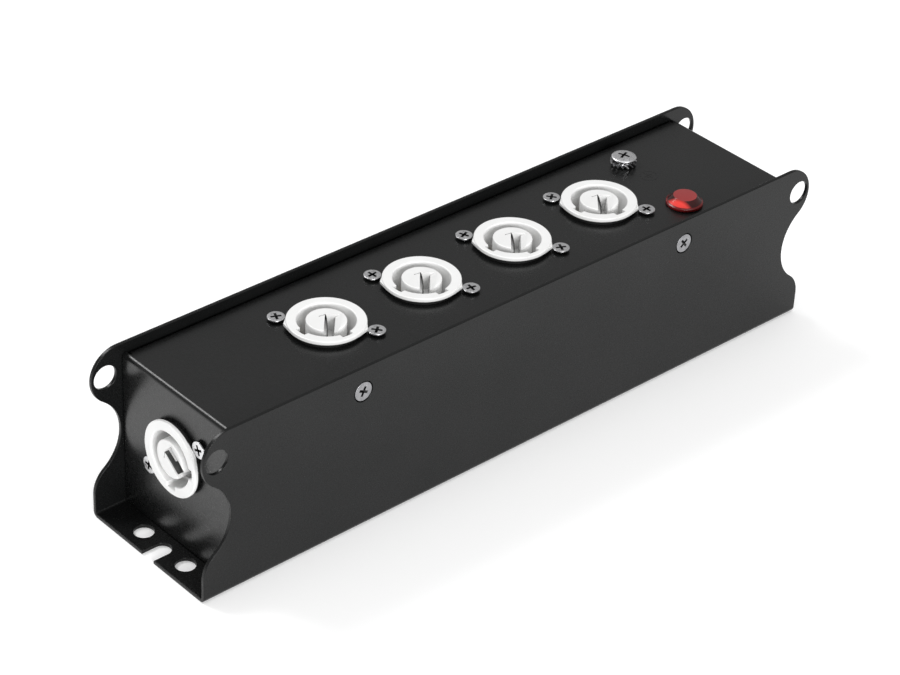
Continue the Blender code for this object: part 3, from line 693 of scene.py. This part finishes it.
def collar_lug(turn, low, high):
    """Low pointed lug at an angle on the collar, tangent to it on both sides."""
    root = COLLAR_RADIUS - 0.05 * MM
    reach = degrees(acos(root / LUG_RADIUS))
    outline = arc((0, 0), root, turn - reach, turn + reach, 8)
    tip = (LUG_RADIUS * cos(radians(turn)), LUG_RADIUS * sin(radians(turn)))
    inner = arc((0, 0), root - 1.5 * MM, turn + reach, turn - reach, 8)
    return plate("lug", [[outline[0], tip, outline[-1]] + inner], low, high, 0.12 * MM, 3)


def connector_mesh(plastic_part):
    """Collar, socket, floor, boss, mounting plate and barrel."""
    collar_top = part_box("outlet_1_housing")[1][2] - COVER_HIGH.z
    floor = collar_top - SOCKET_DEPTH
    plate_top = -SHEET - HOLE_GAP
    plate_low = plate_top - PLATE_THICKNESS
    wall_radius = SOCKET_RADIUS + 0.02 * MM
    outside = circle((0, 0), COLLAR_RADIUS, 96)
    lip_foot = collar_top - LIP_HEIGHT
    collar_loops = [outside, keyed_socket(SOCKET_RADIUS)]
    collar = plate("collar", collar_loops, lip_foot, collar_top, COLLAR_EDGE, 4)
    neck_loops = [circle((0, 0), NECK_RADIUS, 64), keyed_socket(SOCKET_RADIUS + 0.01 * MM)]
    neck = plate("neck", neck_loops, plate_low, lip_foot + 0.4 * MM, SHEET_EDGE)
    barrel_loops = [circle((0, 0), BARREL_RADIUS, 64), hole((0, 0), wall_radius, 64)]
    barrel = plate("barrel", barrel_loops, -BARREL_DEPTH, plate_low + HOLE_GAP, SHEET_EDGE)
    bottom_loop = circle((0, 0), SOCKET_RADIUS + 1 * MM, 64)
    bottom = plate("bottom", [bottom_loop], -BARREL_DEPTH, floor, SHEET_EDGE)
    boss = boss_mesh(floor - HOLE_GAP, collar_top - BOSS_DROP)
    outline = rounded_rectangle(PLATE_X, PLATE_Y, PLATE_CORNER)
    loops = [outline, hole((0, 0), SOCKET_RADIUS + 1.8 * MM, 64)]
    x, y = SCREW_OFFSET
    loops += [hole((side * x, -side * y), CONNECTOR_HOLE_RADIUS, 24) for side in (-1, 1)]
    flange = plate("flange", loops, plate_low, plate_top, SHEET_EDGE)
    lugs = [collar_lug(turn, lip_foot, lip_foot + 0.9 * MM) for turn in LUG_TURNS]
    shell = smoothed(merged("connector", [collar, neck, barrel, bottom, boss, flange] + lugs))
    shell.materials.append(plastic_part)
    shell.materials.append(NECK_SHADE)
    # Neck faces below the collar lip get the near-black painted shade.
    for face in shell.polygons:
        spot = face.center
        shaded_neck_face = plate_top < spot.z < lip_foot and spot.xy.length > NECK_RADIUS - HOLE_GAP
        face.material_index = int(shaded_neck_face)
    return shell


def contact_mesh():
    """Folded contact strip that stands in the boss's channel."""
    turn = Matrix.Rotation(radians(KEY_SIDE), 2)
    points = [tuple(turn @ Vector((x * MM, y * MM))) for x, y in CONTACT_LINE]
    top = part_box("outlet_1_housing")[1][2] - COVER_HIGH.z - BOSS_DROP
    edge = strip("contact", points, CONTACT_THICKNESS, top - CONTACT_DEPTH, top + 0.03 * MM)
    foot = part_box("outlet_1_earth_contact")[0].z - COVER_HIGH.z
    tab_top = top - TAB_DEPTH
    tab = box("tab", (TAB_WIDTH, TAB_THICKNESS, tab_top - foot))
    tab.transform(Matrix.Translation((0, 0, (tab_top + foot) / 2)))
    tab.transform(key_frame())
    mesh = smoothed(merged("contact", [edge, tab]))
    mesh.materials.append(DARK_CONTACT)
    mesh.materials.append(BRASS)
    for face in mesh.polygons:
        face.material_index = int(face.center.z < top - CONTACT_DEPTH - 0.1 * MM)
    return mesh


def make_connectors():
    """Six panel connectors, the inlet in blue."""
    shells = {"white_plastic": connector_mesh(WHITE), "blue_plastic": connector_mesh(BLUE)}
    contact = contact_mesh()
    for connector in CONNECTORS:
        slot = "blue_plastic" if connector == "inlet" else "white_plastic"
        place = on_panel(f"{connector}_housing", connector)
        piece(f"{connector}_shell", shells[slot], None, [f"{connector}_housing"], place=place)
        node = f"{connector}_earth_contact"
        piece(f"{connector}_contact_edge", contact, None, [node], place=place)


# --- Screws ---------------------------------------------------------------------------------

def cross_recess(top, across, width, depth):
    """Two crossing tapered blades that cut a Phillips recess."""
    blades = []
    for angle in (0, pi / 2):
        blade = box("blade", (across, width, 2 * depth), Matrix.Translation((0, 0, top)))
        for vertex in blade.vertices:
            below = vertex.co.z < top
            vertex.co.x *= 0.45 if below else 1.55
            vertex.co.y *= 0.6 if below else 1.4
        blade.transform(Matrix.Rotation(angle, 4, "Z"))
        blades.append(blade)
    return blades


def flat_head(radius, top, shank_radius):
    """Half outline of a flat head with a cone underside."""
    rim_foot = top - HEAD_RIM
    rim = [(0, top)] + arc((radius - 0.12 * MM, top - 0.12 * MM), 0.12 * MM, 90, 0, 4)
    return rim + [(radius, rim_foot), (shank_radius, rim_foot - HEAD_CONE)]


def domed_head(radius, top, shank_radius):
    """Half outline of a domed head that stands on a washer."""
    rim = HOLE_GAP + 0.25 * MM
    dome = [(radius * sin(a), rim + (top - rim) * cos(a)) for a in
            (radians(90 * i / 14) for i in range(15))]
    return dome + [(radius - 0.15 * MM, HOLE_GAP), (shank_radius, HOLE_GAP)]


def screw_mesh(name, head, length, metal, span=RECESS_SPAN):
    """Screw turned from its head's half outline, with a cross recess and a threaded shank."""
    top = head[0][1]
    shank_radius, foot = head[-1]
    thread = []
    for turn in range(int((foot + length) / THREAD_PITCH) - 1):
        thread.append((shank_radius, foot - THREAD_PITCH * (turn + 0.5)))
        thread.append((shank_radius * 0.86, foot - THREAD_PITCH * (turn + 1)))
    profile = head + thread + [(shank_radius * 0.6, -length), (0, -length)]
    recess = cross_recess(top, span, RECESS_WIDTH, RECESS_DEPTH)
    mesh = smoothed(without(turned(name, profile, 48), recess), 35)
    mesh.materials.append(metal)
    mesh.materials.append(RECESS_SHADE)
    # Faces in the cross recess and under the head get painted shade.
    for face in mesh.polygons:
        spot = face.center
        inside = spot.xy.length < span / 2 and top - RECESS_DEPTH <= spot.z + 0.01 * MM
        under = face.normal.z < -0.3 and spot.z < top - HEAD_RIM
        face.material_index = int(under or inside and abs(spot.z - top) > 0.2 * MM)
    return mesh


def make_screws():
    """Two screws for each connector and four for the cover, each turned its own way."""
    low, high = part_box("outlet_1_screw_1")
    head = flat_head((high.x - low.x) / 2, high.z - COVER_HIGH.z - HEAD_SET, CONNECTOR_SHANK)
    small = screw_mesh("connector_screw", head, COVER_HIGH.z - low.z, ZINC)
    for i, connector in enumerate(CONNECTORS):
        for number in (1, 2):
            node = f"{connector}_screw_{number}"
            turn = Matrix.Rotation(radians(SCREW_ANGLES[(2 * i + number) % 5]), 4, "Z")
            place = on_panel(node, connector) @ turn
            piece(f"{node}_zinc", small, None, [node], place=place)
    low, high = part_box("cover_screw_1")
    head = flat_head((high.x - low.x) / 2, -HEAD_SINK, COVER_SHANK)
    # The cover screws take the darker zinc copy, as painted shade.
    large = screw_mesh("cover_screw", head, high.y - CHANNEL_LOW.y, SHADED_ZINC)
    for number in range(1, 5):
        node = f"cover_screw_{number}"
        middle = centre(node)
        side = 1 if middle.y > 0 else -1
        place = Matrix.Translation((middle.x, side * CHANNEL_HIGH.y, middle.z))
        place = place @ Matrix.Rotation(-side * pi / 2, 4, "X")
        place = place @ Matrix.Rotation(radians(SCREW_ANGLES[number]), 4, "Z")
        piece(f"{node}_zinc", large, None, [node], place=place)


# --- Lamp and earth terminal ------------------------------------------------------------------

def make_lens():
    """Flat red lens: level top, wide bevel and a thin ring against the panel."""
    low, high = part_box("lamp_lens")
    radius = (high.x - low.x) / 2
    top = high.z - COVER_HIGH.z
    middle = centre("lamp_lens")
    profile = [(0, top)] + arc((LENS_TOP_RADIUS - 0.15 * MM, top - 0.15 * MM), 0.15 * MM, 90, 40, 3)
    profile += [(radius - 0.5 * MM, LENS_RING + 0.3 * MM)]
    profile += arc((radius - 0.3 * MM, LENS_RING - 0.3 * MM), 0.3 * MM, 70, 0, 4)
    profile += [(radius, HOLE_GAP), (0, HOLE_GAP)]
    mesh = smoothed(turned("lens", profile, 96), 20)
    for mat in (RED_TOP, RED_BEVEL, RED_RING):
        mesh.materials.append(mat)
    # Ring faces, then sloping bevel faces, get the darker reds of painted shade. The level top keeps the
    # lighter red.
    for face in mesh.polygons:
        out = face.center.xy.length
        if out > radius - 0.5 * MM:
            face.material_index = 2
        elif face.normal.z < 0.98:
            face.material_index = 1
    place = Matrix.Translation((middle.x, middle.y, COVER_HIGH.z))
    piece("lamp_lens_moulded", mesh, None, ["lamp_lens"], place=place)


def make_earth_terminal():
    """Serrated lock washer and domed screw, each on its own body."""
    low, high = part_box("earth_lock_washer")
    radius = (high.x - low.x) / 2
    height = high.z - low.z
    middle = centre("earth_lock_washer")
    ring = plate("ring", [circle((0, 0), 0.72 * radius, 64), hole((0, 0), 0.52 * radius, 48)],
                 0.38 * height, 0.62 * height, 0.08 * MM)
    parts = [ring]
    for i in range(WASHER_TEETH):
        tooth = box("tooth", (0.3 * radius, 2.1 * MM, 0.3 * MM))
        twist = Matrix.Rotation(radians(TOOTH_TWIST), 4, "X")
        spot = Matrix.Translation((0.84 * radius, 0, height / 2))
        tooth.transform(Matrix.Rotation(2 * pi * i / WASHER_TEETH, 4, "Z") @ spot @ twist)
        parts.append(tooth)
    washer = smoothed(merged("washer", parts), 30)
    washer.materials.append(ZINC)
    place = Matrix.Translation((middle.x, middle.y, low.z))
    piece("lock_washer_toothed", washer, None, ["earth_lock_washer"], "lock_washer", place)
    washer_top = high.z
    low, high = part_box("earth_screw")
    middle = centre("earth_screw")
    head = domed_head((high.x - low.x) / 2, high.z - washer_top - HEAD_SET, EARTH_SHANK)
    screw = screw_mesh("earth_screw_head", head, washer_top - low.z, ZINC, EARTH_RECESS_SPAN)
    place = Matrix.Translation((middle.x, middle.y, washer_top)) @ Matrix.Rotation(radians(20), 4, "Z")
    piece("earth_screw_domed", screw, None, ["earth_screw"], "terminal_screw", place)


def make_earth_mark():
    """Printed earth sign beside the terminal: a ring, a stem and three bars."""
    low = COVER_HIGH.z - 0.05 * MM
    high = COVER_HIGH.z + 0.03 * MM
    edge = 0.01 * MM
    x, y = EARTH_MARK
    parts = [plate("ring", [circle((x, y), 3.0 * MM, 64), hole((x, y), 2.75 * MM, 64)], low, high, edge)]
    bars = [(0.3, 3.4, 0.3), (-0.5, 2.2, 0.3), (-1.3, 1.1, 0.3)]
    for offset, width, thickness in bars:
        spot = Matrix.Translation((x, y + offset * MM, (low + high) / 2))
        parts.append(box("bar", (width * MM, thickness * MM, high - low), spot))
    stem = Matrix.Translation((x, y + 1.3 * MM, (low + high) / 2))
    parts.append(box("stem", (0.3 * MM, 2 * MM, high - low), stem))
    piece("earth_mark_print", smoothed(merged("mark", parts)), PRINT)


# --- Frame pieces that stay, and the scene round them -------------------------------------------

def finish_frame_pieces():
    """Materials for the CAD nodes that show as they are."""
    looks = {
        "_contact": BRASS, "_nut": ZINC, "ring_terminal": ZINC, "lamp_body": NYLON, "lamp_nut": NYLON,
        "live_wire": BROWN_PVC, "neutral_wire": BLUE_PVC, "earth_wire": STRIPED_PVC,
        "lamp_live_lead": BROWN_PVC, "lamp_neutral_lead": BLUE_PVC, "earth_lead": STRIPED_PVC,
    }
    for name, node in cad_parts.items():
        for ending, mat in looks.items():
            if name.endswith(ending):
                node.data.materials.clear()
                node.data.materials.append(mat)


def area_light(name, place, target, size, power, colour=(1, 1, 1)):
    """Soft rectangular light aimed at a point."""
    data = bpy.data.lights.new(name, "AREA")
    data.shape = "RECTANGLE"
    data.size, data.size_y = size
    data.energy = power
    data.color = colour
    light = link(name, data)
    light.location = place
    light.rotation_euler = (Vector(target) - Vector(place)).to_track_quat("-Z", "Y").to_euler()


def make_floor():
    """Plain pale floor."""
    mat = Material("pale_floor", 0.9)
    stops = [(0.3, (0.93, 0.93, 0.93)), (0.7, (0.95, 0.95, 0.95))]
    mat.use(mat.ramp(mat.noise(3, 2), stops), "Base Color")
    mat.shader.inputs["Emission Color"].default_value = (1, 1, 1, 1)
    mat.shader.inputs["Emission Strength"].default_value = 0.22
    floor_mesh = plate("floor", [rounded_rectangle(8, 8, 0.5)], -0.02, -0.0001, 0.001)
    floor_mesh.materials.append(mat.data)
    link("floor", floor_mesh)


def make_lights():
    """Soft box behind on the left, a large one above and a gentle fill in front."""
    world = bpy.data.worlds.new("studio")
    world.use_nodes = True
    background = world.node_tree.nodes["Background"]
    background.inputs["Color"].default_value = (1, 1, 1, 1)
    background.inputs["Strength"].default_value = 0.42
    bpy.context.scene.world = world
    area_light("key", (-0.25, 0.8, 1.0), (0, 0, 0.03), (0.5, 0.5), 8)
    area_light("top", (0.2, -0.2, 1.4), (0, 0, 0), (0.9, 0.9), 4)
    area_light("front", (-0.5, -1.25, 0.38), (0, 0, 0.03), (0.8, 0.5), 18)


def make_camera():
    """Long lens, above the front left corner."""
    data = bpy.data.cameras.new("camera")
    data.lens = CAMERA_LENS
    data.sensor_width = CAMERA_SENSOR
    camera = link("camera", data)
    up = CAMERA_RIGHT.cross(CAMERA_FORWARD).normalized()
    axes = Matrix((CAMERA_RIGHT, up, -CAMERA_FORWARD)).transposed().to_4x4()
    camera.matrix_world = Matrix.Translation(CAMERA_PLACE) @ axes
    bpy.context.scene.camera = camera


make_channel()
make_cover()
make_connectors()
make_screws()
make_lens()
make_earth_terminal()
make_earth_mark()
finish_frame_pieces()
make_floor()
make_lights()
make_camera()
bpy.context.scene.view_settings.view_transform = "Standard"
